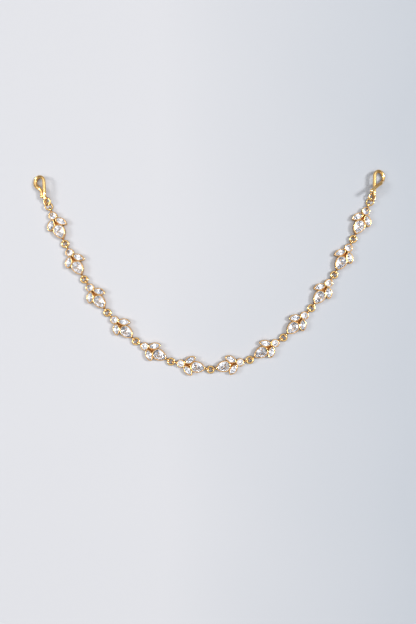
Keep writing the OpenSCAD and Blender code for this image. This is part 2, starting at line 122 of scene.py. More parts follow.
@dataclass
class NodePad:
    """A node tree with short ways to add to it."""

    tree: Tree
    material: Finish | None = None

    NOISE_ROUGHNESS = 0.55
    HOLLOW_SAMPLES = 6
    # Where a colour mixer has its two colours and its result
    MIX_INPUTS, MIX_OUTPUT = slice(6, 8), 2

    @classmethod
    def fresh(cls, name: str) -> "NodePad":
        """Makes an empty node material.

        Args:
            name: The material's name.

        Returns:
            The pad over its tree.
        """
        material = bpy.data.materials.new(name)
        material.use_nodes = True
        material.node_tree.nodes.clear()
        return cls(material.node_tree, material)

    def feed(self, value: object, slot: Socket) -> None:
        """Gives an input a value, or links a socket to it.

        Args:
            value: A number, a vector, a colour or a socket.
            slot: The input.
        """
        if isinstance(value, Socket):
            self.tree.links.new(value, slot)
        else:
            slot.default_value = value

    def add(self, kind: str, **values: object) -> Node:
        """Adds a node.

        Args:
            kind: The node's type name, without its ShaderNode.
            values: The node's properties and what feeds its inputs, with _ for a space in an input's name.

        Returns:
            The node.
        """
        node = self.tree.nodes.new(f"ShaderNode{kind}")
        for name, value in values.items():
            if hasattr(node, name):
                setattr(node, name, value)
            else:
                self.feed(value, node.inputs[name.replace("_", " ")])
        return node

    def reckon(self, operation: str, *values: Socket | float) -> Socket:
        """Works out numbers from sockets and numbers.

        Args:
            operation: What is done with them.
            values: The sockets and numbers.

        Returns:
            The result's socket.
        """
        node = self.add("Math", operation=operation)
        for value, slot in zip(values, node.inputs):
            self.feed(value, slot)
        return node.outputs[0]

    def towards(self, way: Socket, aim: Way) -> Socket:
        """How far a direction points one way.

        Args:
            way: The direction.
            aim: The way that is asked about.

        Returns:
            The cosine of the angle between them.
        """
        node = self.add("VectorMath", operation="DOT_PRODUCT", Vector=way)
        node.inputs[1].default_value = Vector(aim).normalized()
        return node.outputs["Value"]

    def places(self, scatter: float) -> Socket:
        """Object coordinates that differ from object to object.

        Args:
            scatter: How far, in metres, one object's texture lies from another's.

        Returns:
            The socket with the coordinates.
        """
        coords = self.add("TexCoord").outputs["Object"]
        chance = self.add("ObjectInfo").outputs["Random"]
        spread = self.add("CombineXYZ", X=chance, Y=chance, Z=chance).outputs[0]
        shift = self.add("VectorMath", operation="SCALE", Vector=spread, Scale=scatter)
        total = self.add("VectorMath", operation="ADD", Vector=coords)
        self.feed(shift.outputs[0], total.inputs[1])
        return total.outputs[0]

    def noise(self, at: Socket, size: float, detail: float = 3.0, stretch: Way = (1.0, 1.0, 1.0)) -> Socket:
        """A noise whose lumps are about size millimetres across.

        Args:
            at: The coordinates.
            size: The size of a lump in millimetres.
            detail: The number of finer octaves.
            stretch: How many times more often it repeats along each axis.

        Returns:
            The socket with the noise, from 0 to 1.
        """
        scale = self.add("Mapping", Vector=at, Scale=[s / (size * MM) for s in stretch])
        made = self.add(
            "TexNoise", Vector=scale.outputs[0], Scale=1.0, Detail=detail, Roughness=self.NOISE_ROUGHNESS
        )
        return made.outputs["Fac"]

    def ranged(self, value: Socket, span: Span, eased: bool = False) -> Socket:
        """Maps one stretch of values onto another, its ends held.

        Args:
            value: The socket to map.
            span: The two stretches.
            eased: Whether the result changes slowly at both ends.

        Returns:
            The mapped socket.
        """
        node = self.add("MapRange", Value=value)
        for name, number in zip(("From Min", "From Max", "To Min", "To Max"), astuple(span)):
            node.inputs[name].default_value = number
        if eased:
            node.interpolation_type = "SMOOTHSTEP"
        return node.outputs[0]

    def mixed(self, share: Socket, first: Colour | Socket, second: Colour | Socket) -> Socket:
        """Mixes two colours.

        Args:
            share: How much of the second colour shows.
            first: A colour or a colour socket.
            second: A colour or a colour socket.

        Returns:
            The mixed colour's socket.
        """
        node = self.add("Mix", data_type="RGBA", Factor=share)
        for value, slot in zip((first, second), node.inputs[self.MIX_INPUTS]):
            self.feed(value, slot)
        return node.outputs[self.MIX_OUTPUT]

    def hollows(self, reach: float) -> Socket:
        """A socket that is 1 in the open and falls to 0 in a crevice, looking reach millimetres round."""
        node = self.add("AmbientOcclusion", samples=self.HOLLOW_SAMPLES, Distance=reach * MM)
        return node.outputs["AO"]

    def bump(self, heights: list[tuple[Socket, float]]) -> Socket:
        """A chain of bumps.

        Args:
            heights: Each noise with its depth in millimetres.

        Returns:
            The normal's socket.
        """
        last = None
        for height, depth in heights:
            node = self.add("Bump", Strength=1.0, Distance=depth * MM, Height=height)
            if last is not None:
                self.feed(last, node.inputs["Normal"])
            last = node.outputs[0]
        return last

    def shaded(self, **values: object) -> Finish:
        """Ends a material with its shader.

        Args:
            values: What feeds the shader's inputs, with _ for a space in an input's name.

        Returns:
            The finished material.
        """
        shader = self.add("BsdfPrincipled", **values)
        self.add("OutputMaterial", Surface=shader.outputs[0])
        return self.material


@dataclass(frozen=True)
class Gilt:
    """Gilding over brass: clouded, finely scratched and brighter on worn edges; its darker colour in crevices
    is painted shade with some tarnish.
    """

    name: str
    tone: Colour
    # The colour that crevices darken towards: painted shade, with some tarnish
    shade_and_tarnish: Colour
    worn: Colour
    rough_low: float
    rough_high: float
    scatter: float = 0.05
    cloud_mm: float = 1.6
    clouds: Span = Span(0.35, 0.7, 0.0, 0.55)
    crevice_mm: float = 1.1
    shaded_crevices: Span = Span(0.25, 0.95, 0.75, 0.0)
    dull: Span = Span(0.2, 0.9, 0.22, 0.0)
    edges: Span = Span(0.52, 0.6, 0.0, 0.6)
    peel_mm: float = 0.35
    peel_depth: float = 0.004
    scratch_mm: float = 0.9
    scratch_stretch: Way = (1.0, 14.0, 6.0)
    scratch_from: float = 0.35
    scratch_full: float = 0.75
    scratch_depth: float = 0.0012

    def material(self) -> Finish:
        """Builds the finish.

        Returns:
            The material.
        """
        pad = NodePad.fresh(self.name)
        at = pad.places(self.scatter)
        peel = pad.noise(at, self.peel_mm, detail=4.0)
        scratches = pad.noise(at, self.scratch_mm, detail=2.0, stretch=self.scratch_stretch)
        tone = pad.mixed(pad.ranged(pad.noise(at, self.cloud_mm), self.clouds), self.tone, self.worn)
        open_air = pad.hollows(self.crevice_mm)
        # Painted shade: where the surface is hemmed in, the tone darkens towards the crevice colour
        tone = pad.mixed(pad.ranged(open_air, self.shaded_crevices), tone, self.shade_and_tarnish)
        edge = pad.add("NewGeometry").outputs["Pointiness"]
        scratched = Span(self.scratch_from, self.scratch_full, self.rough_low, self.rough_high)
        return pad.shaded(
            Metallic=1.0,
            Base_Color=pad.mixed(pad.ranged(edge, self.edges), tone, self.worn),
            Roughness=pad.reckon("ADD", pad.ranged(scratches, scratched), pad.ranged(open_air, self.dull)),
            Normal=pad.bump([(peel, self.peel_depth), (scratches, self.scratch_depth)]),
        )


@dataclass(frozen=True)
class ClearStone:
    """The crown of a clear stone: glass with a little dust and faint polishing marks."""

    name: str = "clear_crown"
    tint: Colour = (0.985, 0.99, 1.0, 1.0)
    haze: Colour = (0.93, 0.93, 0.95, 1.0)
    index: float = 1.62
    scatter: float = 0.07
    cloud_mm: float = 2.5
    clouds: Span = Span(0.4, 0.8, 0.0, 0.6)
    dust_mm: float = 0.5
    dust: Span = Span(0.55, 0.85, 0.0, 0.09)
    dust_depth: float = 0.0002

    def material(self) -> Finish:
        """Builds the finish.

        Returns:
            The material.
        """
        pad = NodePad.fresh(self.name)
        at = pad.places(self.scatter)
        dust = pad.noise(at, self.dust_mm, detail=5.0)
        return pad.shaded(
            IOR=self.index,
            Transmission_Weight=1.0,
            Base_Color=pad.mixed(pad.ranged(pad.noise(at, self.cloud_mm), self.clouds), self.tint, self.haze),
            Roughness=pad.ranged(dust, self.dust),
            Normal=pad.bump([(dust, self.dust_depth)]),
        )


@dataclass(frozen=True)
class StoneFoil:
    """The silver foil behind a stone, seen through it: faintly clouded, with a painted dark reflection in
    patches on the facets that face one way.
    """

    name: str = "stone_foil"
    tone: Colour = (0.9, 0.9, 0.91, 1.0)
    cloud: Colour = (0.83, 0.83, 0.85, 1.0)
    # Painted reflection: the dark colour that the facets facing one way take on in patches
    painted_dark_reflection: Colour = (0.29, 0.32, 0.4, 1.0)
    scatter: float = 0.09
    cloud_mm: float = 1.4
    clouds: Span = Span(0.52, 0.8, 0.0, 0.8)
    reflection_way: Way = (-0.3, 0.95, 0.0)
    reflection_side: Span = Span(0.4, 0.48)
    patch_mm: float = 1.7
    patches: Span = Span(0.54, 0.585)
    grain_mm: float = 0.3
    grain: Span = Span(0.3, 0.8, 0.02, 0.12)

    def material(self) -> Finish:
        """Builds the finish.

        Returns:
            The material.
        """
        pad = NodePad.fresh(self.name)
        at = pad.places(self.scatter)
        clouds = pad.ranged(pad.noise(at, self.cloud_mm, detail=2.0), self.clouds)
        # Painted reflection: the facets that face one way turn dark in noise patches
        facet = pad.towards(pad.add("NewGeometry").outputs["True Normal"], self.reflection_way)
        patches = pad.ranged(pad.noise(at, self.patch_mm, detail=1.0), self.patches)
        painted_dark_reflection = pad.reckon("MULTIPLY", pad.ranged(facet, self.reflection_side), patches)
        return pad.shaded(
            Metallic=1.0,
            Base_Color=pad.mixed(painted_dark_reflection, pad.mixed(clouds, self.tone, self.cloud), self.painted_dark_reflection),
            Roughness=pad.ranged(pad.noise(at, self.grain_mm, detail=4.0), self.grain),
        )


@dataclass(frozen=True)
class PaleFloor:
    """The plain pale surface under the strand, a little shaded and cooler towards the right."""

    name: str = "pale_floor"
    tone: Colour = (0.372, 0.376, 0.398, 1.0)
    shade: Colour = (0.284, 0.302, 0.333, 1.0)
    shade_from_mm: float = -15.0
    shade_to_mm: float = 150.0
    waver_mm: float = 120.0
    waver_by_mm: float = 40.0
    roughness: float = 0.8
    grain_mm: float = 0.5
    grain_depth: float = 0.01

    def material(self) -> Finish:
        """Builds the finish.

        Returns:
            The material.
        """
        pad = NodePad.fresh(self.name)
        at = pad.add("TexCoord").outputs["Object"]
        across = pad.add("SeparateXYZ", Vector=at).outputs["X"]
        waver = pad.noise(at, self.waver_mm, detail=1.0)
        place = pad.reckon("MULTIPLY_ADD", waver, self.waver_by_mm * MM, across)
        share = pad.ranged(place, Span(self.shade_from_mm * MM, self.shade_to_mm * MM))
        return pad.shaded(
            Roughness=self.roughness,
            Base_Color=pad.mixed(share, self.tone, self.shade),
            Normal=pad.bump([(pad.noise(at, self.grain_mm, detail=2.0), self.grain_depth)]),
        )


@dataclass
class Skin:
    """A closed skin in millimetres, with the finish of each face."""

    points: np.ndarray
    faces: list[tuple[int, ...]]
    finish: Face = Face.BEZEL

    @classmethod
    def lofted(cls, rings: np.ndarray, round_again: bool = False, finish: Face = Face.BEZEL) -> "Skin":
        """Joins rings of equal count into a skin.

        Args:
            rings: The rings' points, ring by ring.
            round_again: Whether the last ring joins the first; otherwise both ends are closed by a face.
            finish: The finish of its faces.

        Returns:
            The skin.
        """
        count, size = rings.shape[:2]
        faces: list[tuple[int, ...]] = []
        for i in range(count if round_again else count - 1):
            low, high = i * size, (i + 1) % count * size
            for j in range(size):
                k = (j + 1) % size
                faces.append((low + j, low + k, high + k, high + j))
        if not round_again:
            faces.append(tuple(reversed(range(size))))
            faces.append(tuple((count - 1) * size + j for j in range(size)))
        return cls(rings.reshape(-1, 3), faces, finish)

    def moved(self, place: Matrix) -> "Skin":
        """The skin at another place.

        Args:
            place: The move, in millimetres.

        Returns:
            The moved skin.
        """
        turned = np.array(place)
        return Skin(self.points @ turned[:3, :3].T + turned[:3, 3], self.faces, self.finish)

    def mesh(self, name: str) -> Mesh:
        """Makes the skin a mesh in metres, its faces looking outwards.

        Args:
            name: The mesh's name.

        Returns:
            The mesh.
        """
        mesh = bpy.data.meshes.new(name)
        mesh.from_pydata((self.points * MM).tolist(), [], self.faces)
        work = bmesh.new()
        work.from_mesh(mesh)
        bmesh.ops.recalc_face_normals(work, faces=work.faces)
        for face in work.faces:
            face.material_index = self.finish.value
        work.to_mesh(mesh)
        work.free()
        return mesh


def put(name: str, data: bpy.types.ID) -> Thing:
    """Adds a mesh, a light or a camera to the scene.

    Args:
        name: The object's name.
        data: The mesh, light or camera.

    Returns:
        The object.
    """
    thing = bpy.data.objects.new(name, data)
    bpy.context.scene.collection.objects.link(thing)
    return thing


def fit(name: str, mesh: Mesh, node: str, place: Matrix | None = None) -> Thing:
    """Puts a mesh in a node's stead.

    Args:
        name: The piece's name.
        mesh: Its mesh.
        node: The node that it replaces.
        place: Its place in metres, or None where the mesh already lies there.

    Returns:
        The piece.
    """
    thing = put(name, mesh)
    if place is not None:
        thing.matrix_world = place
    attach(thing, ROOT)
    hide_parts(node)
    return thing


def soften(mesh: Mesh, angle: float) -> None:
    """Shades a mesh smooth with creases where it turns more than angle.

    Args:
        mesh: The mesh.
        angle: The crease angle in degrees.
    """
    mesh.shade_smooth()
    mesh.set_sharp_from_angle(angle=math.radians(angle))


def soldered(name: str, skins: list[Skin], finishes: list[Finish]) -> Mesh:
    """Joins overlapping skins into one skin.

    Args:
        name: The mesh's name.
        skins: The skins.
        finishes: The materials in the order of Face.

    Returns:
        The joined mesh.
    """
    parts = [put(f"{name}_{i}", skin.mesh(f"{name}_{i}")) for i, skin in enumerate(skins)]
    for part in parts:
        for material in finishes:
            part.data.materials.append(material)
    others = bpy.data.collections.new(f"{name}_others")
    for part in parts[1:]:
        others.objects.link(part)
    join = parts[0].modifiers.new("solder", "BOOLEAN")
    join.operation = "UNION"
    join.operand_type = "COLLECTION"
    join.solver = "EXACT"
    join.collection = others
    depsgraph = bpy.context.evaluated_depsgraph_get()
    mesh = bpy.data.meshes.new_from_object(parts[0].evaluated_get(depsgraph), depsgraph=depsgraph)
    mesh.name = name
    for part in parts:
        old = part.data
        bpy.data.objects.remove(part)
        bpy.data.meshes.remove(old)
    bpy.data.collections.remove(others)
    return mesh


def unit(v: np.ndarray) -> np.ndarray:
    """The vector at length one."""
    return v / np.linalg.norm(v)


def smooth(t: float) -> float:
    """An even rise from 0 to 1."""
    return t * t * (3 - 2 * t)


def full_turn(count: int) -> np.ndarray:
    """Angles in radians, spread evenly over a full turn."""
    return np.arange(count) * 2 * math.pi / count


@dataclass
class Wire:
    """A round wire along a path, in millimetres."""

    path: np.ndarray
    radii: np.ndarray
    sides: int = 20
    closed: bool = False
    end: End = End.ROUNDED
    bevel: float = 0.06

    # Where the rings that round off an end lie, in degrees from the wire's side
    ROUNDING = (82, 66, 50, 34, 18)
    # The rings of a wire that sets out more steeply than this are turned from X instead of from up
    STEEP = 0.9

    def directions(self) -> np.ndarray:
        """The wire's way at each point.

        Returns:
            The directions, at length one.
        """
        if self.closed:
            steps = np.roll(self.path, -1, 0) - np.roll(self.path, 1, 0)
        else:
            steps = np.gradient(self.path, axis=0)
        return steps / np.linalg.norm(steps, axis=1)[:, None]

    def ends(self, at: int) -> list[Point]:
        """The rings that finish one end.

        Args:
            at: 0 for the path's first end and -1 for its last.

        Returns:
            How far past the end each ring lies and its share of the radius, outermost first.
        """
        radius = self.radii[at]
        if self.end is End.SAWN:
            return [(self.bevel, 1 - self.bevel / radius)]
        return [(radius * math.sin(a), math.cos(a)) for a in np.radians(self.ROUNDING)]

    def skin(self, finish: Face = Face.BEZEL) -> Skin:
        """Builds the wire's skin.

        Args:
            finish: The finish of its faces.

        Returns:
            The skin.
        """
        ways = self.directions()
        across = unit(np.cross(ways[0], UP if abs(ways[0][2]) < self.STEEP else np.array([1.0, 0.0, 0.0])))
        turns = full_turn(self.sides)
        circles = []
        for way in ways:
            across = unit(across - (across @ way) * way)
            other = np.cross(way, across)
            circles.append(np.outer(np.cos(turns), across) + np.outer(np.sin(turns), other))
        rings = [place + radius * circle for place, radius, circle in zip(self.path, self.radii, circles)]
        if self.closed:
            return Skin.lofted(np.array(rings), True, finish)
        for at, sign in ((0, -1), (-1, 1)):
            place, way, size = self.path[at], sign * ways[at], self.radii[at]
            end = [place + far * way + size * share * circles[at] for far, share in self.ends(at)]
            rings = end + rings if at == 0 else rings + end[::-1]
        return Skin.lofted(np.array(rings), False, finish)


@dataclass(frozen=True)
class ClusterPlan:
    """Sizes of a cluster and the places of its cups along it, from the ring centre at its round end."""

    ring_r: float = 2.1
    loop_od: float = 3.4
    loop_wire: float = 0.9
    loop_lift: float = 0.05
    stem_l: float = 0.05
    stem_d: float = 1.5
    round_d: float = 5.3
    round_h: float = 3.0
    petal_l: float = 8.4
    petal_w: float = 4.5
    petal_h: float = 3.2
    petal_turn: float = 40.0
    petal_place: float = 19.0
    petal_bite: float = 0.37
    pear_w: float = 7.3
    pear_l: float = 9.85
    pear_h: float = 3.6
    pear_bite: float = 0.15
    tip_bite: float = 0.4
    wall: float = 0.4
    lip: float = 0.2
    floor: float = 0.5
    web_h: float = 1.2

    @property
    def loop_r(self) -> float:
        """Radius of the loops' wire line."""
        return (self.loop_od - self.loop_wire) / 2

    @property
    def loop_z(self) -> float:
        """Height of the loops' centre."""
        return self.loop_od / 2 + self.loop_lift

    @property
    def round_x(self) -> float:
        """The round cup's place."""
        return self.ring_r + self.loop_od / 2 + self.stem_l + self.round_d / 2

    @property
    def petal_arc(self) -> float:
        """Radius of the arcs of a marquise cup."""
        return (self.petal_l**2 + self.petal_w**2) / (4 * self.petal_w)

    @property
    def petal_at(self) -> Point:
        """A marquise cup's place.

        Returns:
            Its place along the cluster and across it.
        """
        reach = self.round_d / 2 - self.petal_bite
        place, turn = math.radians(self.petal_place), math.radians(self.petal_turn)
        half = self.petal_l / 2
        return (
            self.round_x + reach * math.cos(place) + half * math.cos(turn),
            reach * math.sin(place) + half * math.sin(turn),
        )

    @property
    def inner_arc_at(self) -> Point:
        """The arc of a marquise cup that faces the pear cup.

        Returns:
            The arc's centre along the cluster and across it.
        """
        turn = math.radians(self.petal_turn)
        off = self.petal_arc - self.petal_w / 2
        x, y = self.petal_at
        return x - off * math.sin(turn), y + off * math.cos(turn)

    @property
    def pear_x(self) -> float:
        """The pear cup's place.

        Returns:
            Where its head's centre lies along the cluster.
        """
        x, y = self.inner_arc_at
        gap = self.pear_w / 2 + self.petal_arc - self.pear_bite
        return x + math.sqrt(gap**2 - y**2)

    @property
    def tip_x(self) -> float:
        """The place of the pear's tip."""
        return self.pear_x + self.pear_l - self.pear_w / 2

    @property
    def pear_loop_x(self) -> float:
        """The place of the loop at the pear's tip."""
        return self.tip_x + self.loop_od / 2 - self.tip_bite

    @property
    def pitch(self) -> float:
        """The length of a cluster from ring centre to ring centre."""
        return self.pear_loop_x + self.ring_r


@dataclass(frozen=True)
class Strand:
    """Where each piece lies, read from the frame's solids."""

    plan: ClusterPlan = field(default_factory=ClusterPlan)
    clusters: int = 12

    @staticmethod
    def centre(node: str) -> np.ndarray:
        """The middle of a node's box, in millimetres."""
        low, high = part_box(node)
        return np.array((low + high) / 2) / MM

    def ring_inside(self, number: int) -> str:
        """The jump ring at the pear end of a cluster."""
        return f"jump_ring_{number if number <= self.clusters // 2 else number - 1:02d}"

    def inwards(self, number: int) -> np.ndarray:
        """The level direction of a cluster.

        Args:
            number: The cluster, from 1 at the left hook.

        Returns:
            The direction from its round end to its pear end, at length one.
        """
        way = self.centre(self.ring_inside(number)) - self.centre(f"round_stone_{number:02d}")
        way[2] = 0
        return unit(way)

    def place(self, number: int) -> Matrix:
        """The place of a cluster.

        Args:
            number: The cluster, from 1 at the left hook.

        Returns:
            The matrix from the cluster's own millimetres to the strand's.
        """
        way = self.inwards(number)
        start = self.centre(self.ring_inside(number)) - self.plan.pitch * way
        turn = Matrix.Rotation(math.atan2(way[1], way[0]), 4, "Z")
        return Matrix.Translation((start[0], start[1], 0)) @ turn

    def end_lean(self, side: Side) -> float:
        """How far the last cluster of an arm leans up from level, in degrees."""
        way = -self.inwards(1 if side is Side.LEFT else self.clusters)
        return math.degrees(math.atan2(way[1], side.outwards * way[0]))


@dataclass(frozen=True)
class Outline:
    """A closed line with the outward direction at each of its points."""

    points: np.ndarray
    outward: np.ndarray

    @classmethod
    def of_arcs(cls, arcs: list[tuple[Point, float, float, float, int]]) -> "Outline":
        """Joins arcs end to end.

        Args:
            arcs: Each arc's centre, radius, first and last angle in degrees and number of points.

        Returns:
            The outline.
        """
        points, outward = [], []
        for (x, y), radius, first, last, count in arcs:
            for angle in np.radians(np.linspace(first, last, count, endpoint=False)):
                way = np.array([math.cos(angle), math.sin(angle)])
                points.append(np.array([x, y]) + radius * way)
                outward.append(way)
        return cls(np.array(points), np.array(outward))

    def ring(self, out: float, z: float) -> np.ndarray:
        """The line moved outwards by out, at height z."""
        flat = self.points + out * self.outward
        return np.column_stack([flat, np.full(len(flat), z)])


@dataclass(frozen=True)
class Cup:
    """A bezel cup: a wall with a burnished rim, rounded over on top, and a floor."""

    cut: Cut
    length: float
    width: float
    height: float
    wall: float
    lip: float
    floor: float
    tip_round: float = 0.42
    under_rim: float = 0.42

    # The cup's section from the stone outwards: share of the rim's width, and depth under the top
    RIM = (
        (0.0, 0.42), (0.0, 0.2), (0.05, 0.11), (0.15, 0.045), (0.3, 0.008), (0.45, 0.0),
        (0.6, 0.01), (0.75, 0.04), (0.88, 0.095), (0.97, 0.17), (1.0, 0.27),
    )
    # The foot of the cup: share of the rim's width and height above the surface
    FOOT = ((1.0, 0.22), (0.975, 0.1), (0.9, 0.03), (0.76, 0.0))

    # Points along each arc of the outlines
    ROUND_POINTS = 64
    PETAL_SIDE, PETAL_TIP = 26, 6
    PEAR_SIDE, PEAR_HEAD, PEAR_TIP = 20, 34, 8

    @property
    def rim(self) -> float:
        """Width of the rim over the stone and the wall."""
        return self.wall + self.lip

    def outline(self) -> Outline:
        """The line that the section's offsets are counted from, inside the mouth by the tips' rounding.

        Returns:
            The outline.
        """
        inset = self.rim + self.tip_round
        half = self.width / 2
        if self.cut is Cut.ROUND:
            return Outline.of_arcs([((0, 0), half - inset, 0, 360, self.ROUND_POINTS)])
        point = self.length / 2 if self.cut is Cut.MARQUISE else self.length - half
        arc = (point**2 + half**2) / (2 * half)
        off, radius = arc - half, arc - inset
        lean = math.degrees(math.acos(off / radius))
        tip = math.sqrt(radius**2 - off**2)
        if self.cut is Cut.MARQUISE:
            return Outline.of_arcs([
                ((0, -off), radius, 90 - lean, 90 + lean, self.PETAL_SIDE),
                ((-tip, 0), 0, 90 + lean, 270 - lean, self.PETAL_TIP),
                ((0, off), radius, 270 - lean, 270 + lean, self.PETAL_SIDE),
                ((tip, 0), 0, 270 + lean, 450 - lean, self.PETAL_TIP),
            ])
        return Outline.of_arcs([
            ((0, -off), radius, 90 - lean, 90, self.PEAR_SIDE),
            ((0, 0), half - inset, 90, 270, self.PEAR_HEAD),
            ((0, off), radius, 270, 270 + lean, self.PEAR_SIDE),
            ((tip, 0), 0, 270 + lean, 450 - lean, self.PEAR_TIP),
        ])

    def skin(self) -> Skin:
        """Builds the cup, its seat hollow for the stone.

        Returns:
            The skin in the cup's own place.
        """
        line = self.outline()
        seat = self.tip_round + self.lip
        rings = [line.ring(seat, self.floor), line.ring(seat, self.height - self.under_rim)]
        section = [(share, self.height - down) for share, down in self.RIM] + list(self.FOOT)
        rings += [line.ring(self.tip_round + share * self.rim, z) for share, z in section]
        return Skin.lofted(np.array(rings))


@dataclass
class Setting:
    """The soldered gilt settings: four cups, the web between them and an upright loop at each end."""

    strand: Strand
    bezel: Gilt
    solder: Gilt
    bead_r: float = 0.5
    bead_h: float = 1.9
    bead_sides: int = 20
    # Where the web's edge leaves the marquise cups, and where it meets the pear cup: shares of the pear
    # head's radius and of the web's half width
    web_back: float = 0.9
    web_in: float = 0.8
    web_side_points: int = 12
    web_head_points: int = 5
    loop_points: int = 44
    loop_sides: int = 16
    neck_points: int = 7
    round_flare: float = 0.12
    pear_flare: float = 0.2
    crease: float = 32.0

    # The web's top, from its edge inwards: share of its outline and depth under its height
    WEB = ((1.0, 0.0), (0.75, 0.14), (0.45, 0.24), (0.12, 0.28))
    # A bead from the surface up: share of its radius and share of its height
    BEAD = ((0.9, 0.0), (1.0, 0.2), (1.0, 0.5), (0.9, 0.72), (0.65, 0.9), (0.25, 0.99))

    def cups(self) -> list[Skin]:
        """The four cups at their places along a cluster.

        Returns:
            Their skins.
        """
        plan = self.strand.plan
        shared = {"wall": plan.wall, "lip": plan.lip, "floor": plan.floor}
        small = Cup(Cut.ROUND, plan.round_d, plan.round_d, plan.round_h, **shared).skin()
        petal = Cup(Cut.MARQUISE, plan.petal_l, plan.petal_w, plan.petal_h, **shared).skin()
        pear = Cup(Cut.PEAR, plan.pear_l, plan.pear_w, plan.pear_h, **shared).skin()
        x, y = plan.petal_at
        turn = math.radians(plan.petal_turn)
        made = [small.moved(Matrix.Translation((plan.round_x, 0, 0)))]
        for hand in (-1, 1):
            place = Matrix.Translation((x, hand * y, 0)) @ Matrix.Rotation(hand * turn, 4, "Z")
            made.append(petal.moved(place))
        made.append(pear.moved(Matrix.Translation((plan.pear_x, 0, 0))))
        return made

    def web(self) -> Skin:
        """The solder that fills the gap between the four cups, drawn up at their walls.

        Returns:
            The skin.
        """
        plan = self.strand.plan
        arc_x, arc_y = plan.inner_arc_at
        arc, head = plan.petal_arc - plan.wall / 2, (plan.pear_w - plan.wall) / 2
        start = plan.round_x + plan.round_d / 2 - plan.wall / 2
        edge = []
        for x in np.linspace(start, plan.pear_x - head * self.web_back, self.web_side_points):
            edge.append((x, arc_y - math.sqrt(arc**2 - (x - arc_x) ** 2)))
        for y in np.linspace(edge[-1][1] * self.web_in, 0, self.web_head_points):
            edge.append((plan.pear_x - math.sqrt(head**2 - y**2), y))
        line = np.array(edge + [(x, -y) for x, y in reversed(edge[:-1])])
        middle = line.mean(0)
        rings = []
        for share, z in ((1.0, 0.0), *((share, plan.web_h - down) for share, down in self.WEB)):
            flat = middle + share * (line - middle)
            rings.append(np.column_stack([flat, np.full(len(flat), z)]))
        return Skin.lofted(np.array(rings), finish=Face.SOLDER)

    def bead(self, x: float, y: float) -> Skin:
        """A bead of solder standing on the surface.

        Args:
            x: Its place along the cluster.
            y: Its place across.

        Returns:
            The skin.
        """
        turns = full_turn(self.bead_sides)
        rings = []
        for share, up in self.BEAD:
            out, z = self.bead_r * share, np.full(self.bead_sides, self.bead_h * up)
            rings.append(np.column_stack([x + out * np.cos(turns), y + out * np.sin(turns), z]))
        return Skin.lofted(np.array(rings), finish=Face.SOLDER)

    def loop(self, x: float) -> Skin:
        """An upright wire loop.

        Args:
            x: Its place along the cluster.

        Returns:
            The skin.
        """
        plan = self.strand.plan
        turns = full_turn(self.loop_points)
        path = np.column_stack([
            x + plan.loop_r * np.cos(turns), 0 * turns, plan.loop_z + plan.loop_r * np.sin(turns),
        ])
        radii = np.full(self.loop_points, plan.loop_wire / 2)
        return Wire(path, radii, sides=self.loop_sides, closed=True).skin()

    def neck(self, from_x: float, to_x: float, flare: float) -> Skin:
        """The soldered neck between a loop and its cup, wider at the cup.

        Args:
            from_x: Where it leaves the loop.
            to_x: Where it ends inside the cup's wall.
            flare: How much wider it is at the cup, in millimetres.

        Returns:
            The skin.
        """
        plan = self.strand.plan
        shares = np.linspace(0, 1, self.neck_points)
        path = np.column_stack([from_x + (to_x - from_x) * shares, 0 * shares, 0 * shares + plan.loop_z])
        radii = plan.stem_d / 2 + flare * shares**2
        return Wire(path, radii, end=End.SAWN).skin(Face.SOLDER)

    def build(self) -> Mesh:
        """Casts one setting in its own place.

        Returns:
            The mesh that all the settings share.
        """
        plan = self.strand.plan
        arc_x, arc_y = plan.inner_arc_at
        to_arc = unit(np.array([arc_x - plan.pear_x, arc_y]))
        meet = np.array([plan.pear_x, 0]) + plan.pear_w / 2 * to_arc
        skins = self.cups() + [self.web()]
        skins += [self.bead(meet[0], hand * meet[1]) for hand in (-1, 1)]
        skins += [self.loop(plan.ring_r), self.loop(plan.pear_loop_x)]
        in_round = plan.round_x - plan.round_d / 2 + plan.wall / 2
        skins += [
            self.neck(plan.ring_r + plan.loop_r, in_round, self.round_flare),
            self.neck(plan.pear_loop_x - plan.loop_r, plan.tip_x - plan.wall, self.pear_flare),
        ]
        mesh = soldered("setting_cast", skins, [self.bezel.material(), self.solder.material()])
        soften(mesh, self.crease)
        return mesh

    def dress(self, mesh: Mesh) -> list[Thing]:
        """Lays the settings along the strand.

        Args:
            mesh: The mesh that they share.

        Returns:
            The settings.
        """
        made = []
        for number in range(1, self.strand.clusters + 1):
            node = f"setting_{number:02d}"
            place = self.strand.place(number)
            place.translation *= MM
            made.append(fit(f"{node}_cast", mesh, node, place))
        return made


@dataclass
class Stones:
    """The cut stones: the frame's own solids, clear above and foiled below."""

    strand: Strand
    crown: ClearStone
    foil: StoneFoil
    foil_below: float = 0.05

    def names(self) -> list[str]:
        """Lists the stones.

        Returns:
            The names of their nodes.
        """
        numbers = range(1, self.strand.clusters + 1)
        singles = [f"{kind}_stone_{n:02d}" for kind in ("pear", "round") for n in numbers]
        return singles + ["marquise_stones_outer", "marquise_stones_inner"]

    def dress(self) -> list[Thing]:
        """Gives each stone its crown and its foil.

        Returns:
            The stones.
        """
        clear, foil = self.crown.material(), self.foil.material()
        made = []
        for name in self.names():
            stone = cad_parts[name]
            stone.data.materials.clear()
            stone.data.materials.append(clear)
            stone.data.materials.append(foil)
            for face in stone.data.polygons:
                face.use_smooth = False
                face.material_index = 1 if face.normal.z < self.foil_below else 0
            made.append(stone)
        return made


